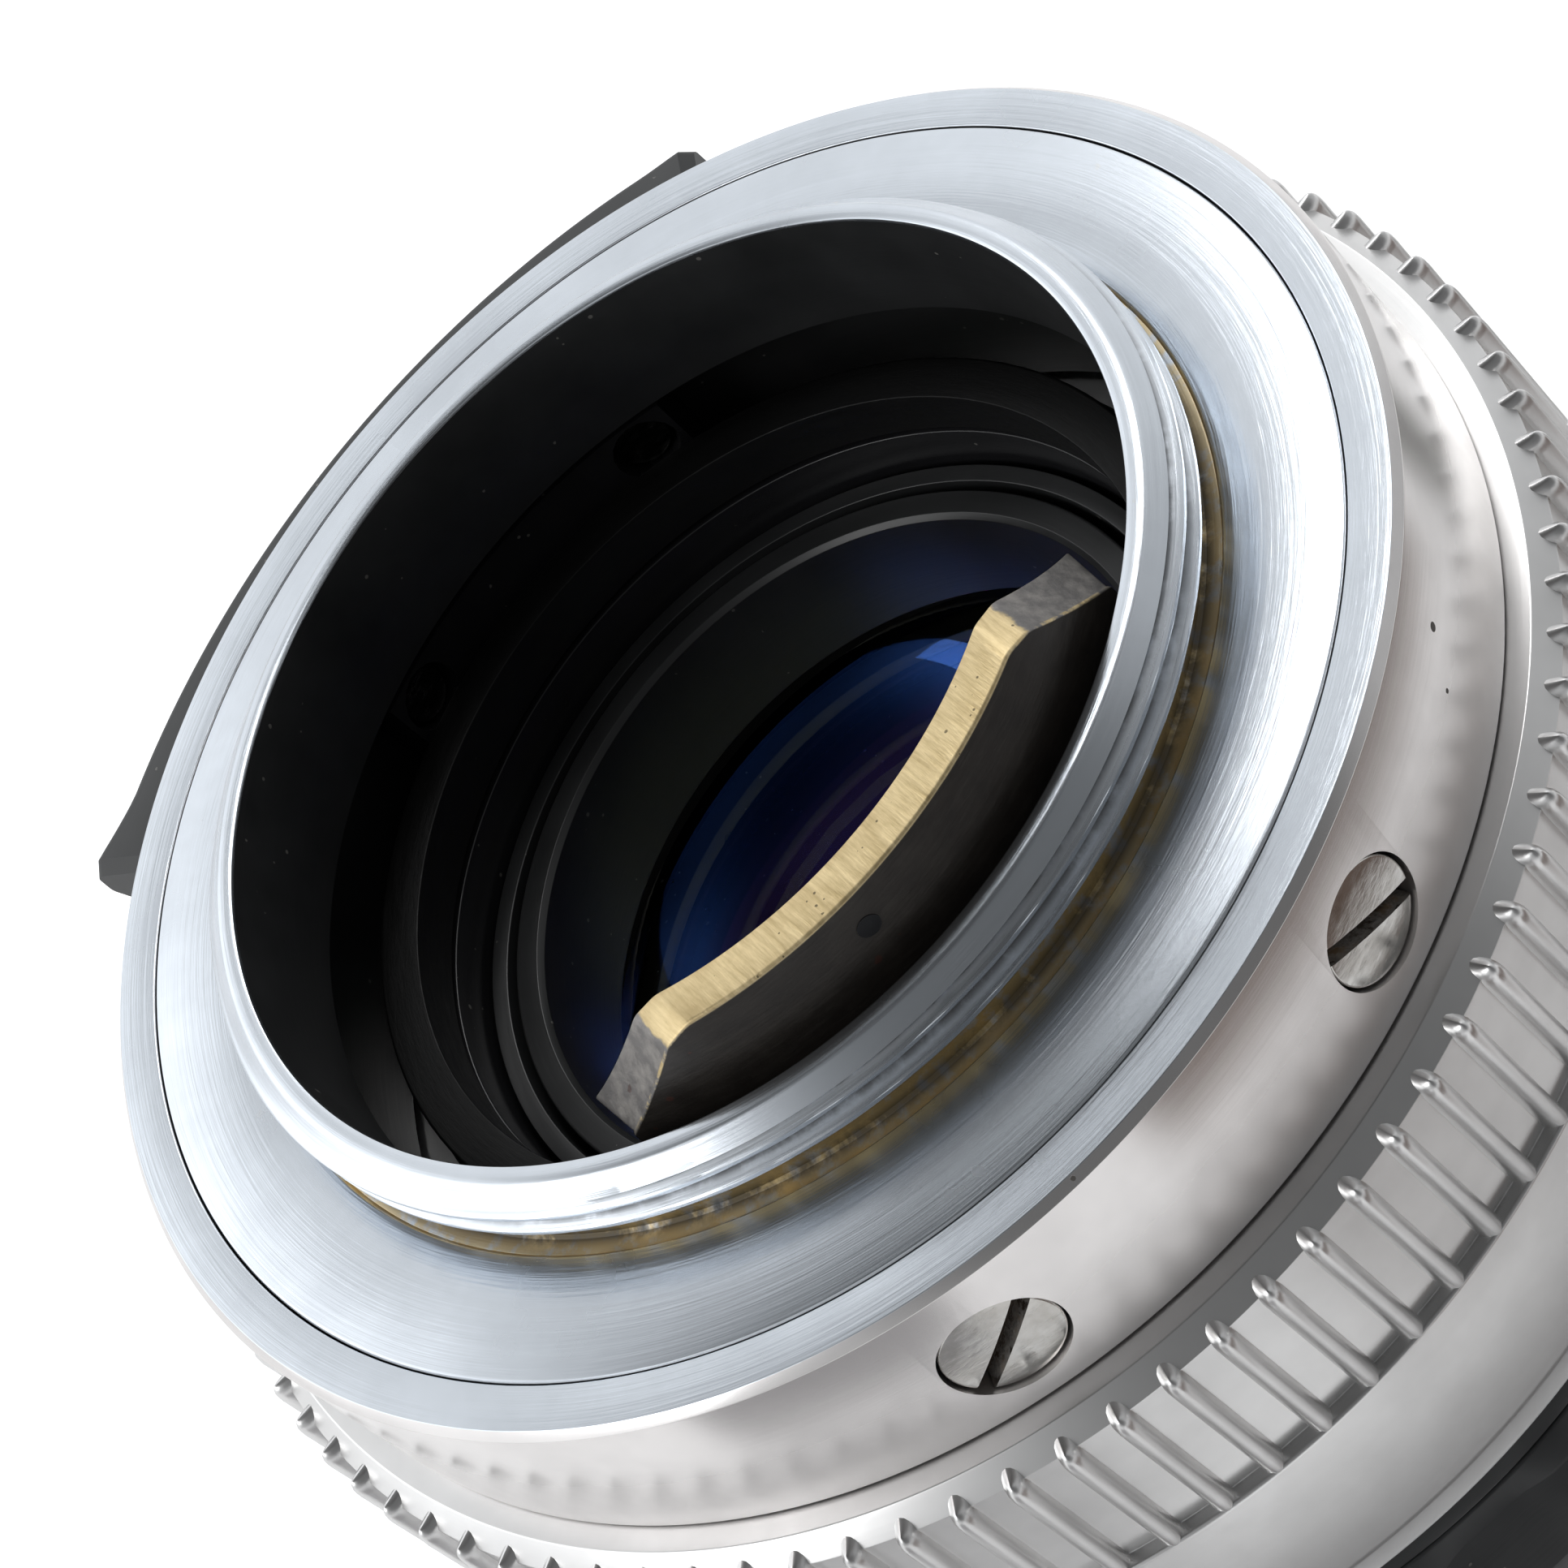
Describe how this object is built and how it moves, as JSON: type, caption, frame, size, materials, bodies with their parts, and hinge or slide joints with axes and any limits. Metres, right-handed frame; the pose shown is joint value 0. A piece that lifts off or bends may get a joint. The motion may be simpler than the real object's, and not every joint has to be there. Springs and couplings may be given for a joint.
{
  "type": "screw mount camera lens",
  "caption": "Screw mount camera lens standing on its front rim: threaded rear collar, rangefinder cam, ribbed focusing ring with finger lever, iris with aperture ring.",
  "frame": {"origin": "on the optical axis in the plane of the front rim, which the lens stands on", "axes": "+Z along the optical axis out of the rear, towards the camera; +X through the middle of the rangefinder cam; the finger lever is towards -X"},
  "size_m": [0.0603, 0.0562, 0.0489],
  "materials": {
    "satin_chrome": "satin chrome on brass, lathe marks",
    "polished_chrome": "polished",
    "matt_chrome": "matt chrome",
    "nickel": "worn nickel",
    "brass": "ground",
    "black_paint": "satin black",
    "blued_steel": "blued",
    "coated_glass": "polished, blue and purple coating"
  },
  "bodies": {
    "mount": {"mount_ring": "satin_chrome", "rear_barrel": "polished_chrome", "barrel_screw_1a": "nickel", "barrel_screw_1b": "nickel", "barrel_screw_2a": "nickel", "barrel_screw_2b": "nickel", "guide_key_1": "brass", "guide_key_2": "brass"},
    "focus_ring": {"focus_ring": "matt_chrome", "finger_lever": "black_paint", "lever_screw_1": "nickel", "lever_screw_2": "nickel"},
    "lens_unit": {"lens_tube": "black_paint", "rangefinder_cam": "brass", "cam_pin": "black_paint", "rear_cell": "black_paint", "rear_retainer": "black_paint", "rear_element": "coated_glass", "rear_spacer": "black_paint", "rear_doublet": "coated_glass", "iris_plate": "black_paint", "front_barrel": "black_paint", "front_cell": "black_paint", "front_doublet": "coated_glass", "front_element": "coated_glass", "front_retainer": "black_paint", "front_bezel": "satin_chrome"},
    "aperture_ring": {"aperture_ring": "black_paint", "drive_screw": "nickel", "iris_drive_ring": "brass"},
    "blade_1": {"iris_blade_1": "blued_steel"},
    "blade_2": {"iris_blade_2": "blued_steel"},
    "blade_3": {"iris_blade_3": "blued_steel"},
    "blade_4": {"iris_blade_4": "blued_steel"},
    "blade_5": {"iris_blade_5": "blued_steel"},
    "blade_6": {"iris_blade_6": "blued_steel"}
  },
  "joints": [
    {"name": "focus_turn", "type": "hinge", "parent": "mount", "child": "focus_ring", "pos_m": [0, 0, 0.028], "axis": [0, 0, 1], "range_deg": [-86, 94]},
    {"name": "lens_slide", "type": "slide", "parent": "mount", "child": "lens_unit", "axis": [0, 0, -1], "range_m": [-0.0014, 0.00155]},
    {"name": "aperture_turn", "type": "hinge", "parent": "lens_unit", "child": "aperture_ring", "pos_m": [0, 0, 0.0125], "axis": [0, 0, 1], "range_deg": [0, 75]},
    {"name": "blade_turn_1", "type": "hinge", "parent": "lens_unit", "child": "blade_1", "pos_m": [0.0154, 0, 0.0185], "axis": [0, 0, 1], "range_deg": [0, 30.5]},
    {"name": "blade_turn_2", "type": "hinge", "parent": "lens_unit", "child": "blade_2", "pos_m": [0.0077, 0.01334, 0.0185], "axis": [0, 0, 1], "range_deg": [0, 30.5]},
    {"name": "blade_turn_3", "type": "hinge", "parent": "lens_unit", "child": "blade_3", "pos_m": [-0.0077, 0.01334, 0.0185], "axis": [0, 0, 1], "range_deg": [0, 30.5]},
    {"name": "blade_turn_4", "type": "hinge", "parent": "lens_unit", "child": "blade_4", "pos_m": [-0.0154, 0, 0.0185], "axis": [0, 0, 1], "range_deg": [0, 30.5]},
    {"name": "blade_turn_5", "type": "hinge", "parent": "lens_unit", "child": "blade_5", "pos_m": [-0.0077, -0.01334, 0.0185], "axis": [0, 0, 1], "range_deg": [0, 30.5]},
    {"name": "blade_turn_6", "type": "hinge", "parent": "lens_unit", "child": "blade_6", "pos_m": [0.0077, -0.01334, 0.0185], "axis": [0, 0, 1], "range_deg": [0, 30.5]}
  ],
  "couplings": [
    {"joint": "lens_slide", "follows": "focus_turn", "m_per_rad": 0.00093},
    {"joint": "blade_turn_1", "follows": "aperture_turn", "ratio": 0.4},
    {"joint": "blade_turn_2", "follows": "aperture_turn", "ratio": 0.4},
    {"joint": "blade_turn_3", "follows": "aperture_turn", "ratio": 0.4},
    {"joint": "blade_turn_4", "follows": "aperture_turn", "ratio": 0.4},
    {"joint": "blade_turn_5", "follows": "aperture_turn", "ratio": 0.4},
    {"joint": "blade_turn_6", "follows": "aperture_turn", "ratio": 0.4}
  ]
}
